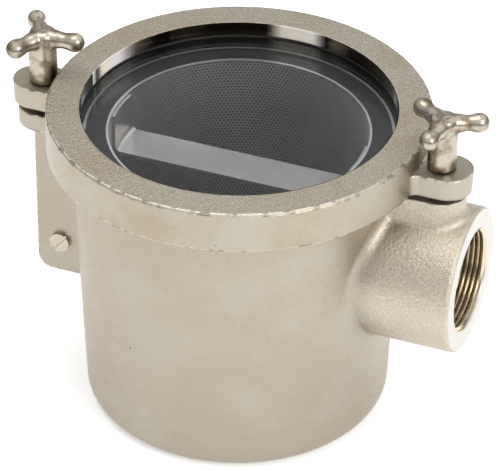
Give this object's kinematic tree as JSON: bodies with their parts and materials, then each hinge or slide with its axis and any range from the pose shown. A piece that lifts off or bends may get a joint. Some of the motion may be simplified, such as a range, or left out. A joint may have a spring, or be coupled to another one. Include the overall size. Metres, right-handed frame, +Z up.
{
  "type": "sea water strainer",
  "caption": "Round cast strainer pot with a clamped sight-glass cover, hand nuts, a lift-out perforated basket, and threaded side and bottom ports.",
  "frame": {"origin": "centre of the pot's flat base, on the axis of the bottom port", "axes": "+Z up along the pot's axis, +X out of the side port, -Z out of the bottom port"},
  "size_m": [0.2256, 0.174, 0.1705],
  "materials": {
    "plated_casting": "satin nickel-plated sand casting",
    "polished_casting": "bright nickel-plated casting",
    "plated_fastener": "bright nickel-plated, machined",
    "basket_steel": "satin stainless sheet",
    "clear_glass": "clear, polished",
    "black_rubber": "matt"
  },
  "bodies": {
    "pot": {"strainer_body": "plated_casting", "stud_left": "plated_fastener", "stud_right": "plated_fastener", "rim_gasket": "black_rubber", "bonding_screw": "plated_fastener", "basket_flange": "basket_steel", "basket_wall": "basket_steel", "basket_floor": "basket_steel", "basket_handle": "basket_steel"},
    "cover": {"cover_ring": "plated_casting", "sight_glass": "clear_glass", "glass_seal": "black_rubber"},
    "left_nut": {"hand_nut_left": "polished_casting"},
    "right_nut": {"hand_nut_right": "polished_casting"}
  },
  "joints": [
    {"name": "cover_lift", "type": "slide", "parent": "pot", "child": "cover", "axis": [0, 0, 1], "range_m": [0, 0.06]},
    {"name": "left_nut_turn", "type": "hinge", "parent": "cover", "child": "left_nut", "pos_m": [-0.0962, 0, 0.1432], "axis": [0, 0, 1], "continuous": true},
    {"name": "right_nut_turn", "type": "hinge", "parent": "cover", "child": "right_nut", "pos_m": [0.0962, 0, 0.1432], "axis": [0, 0, 1], "continuous": true}
  ]
}
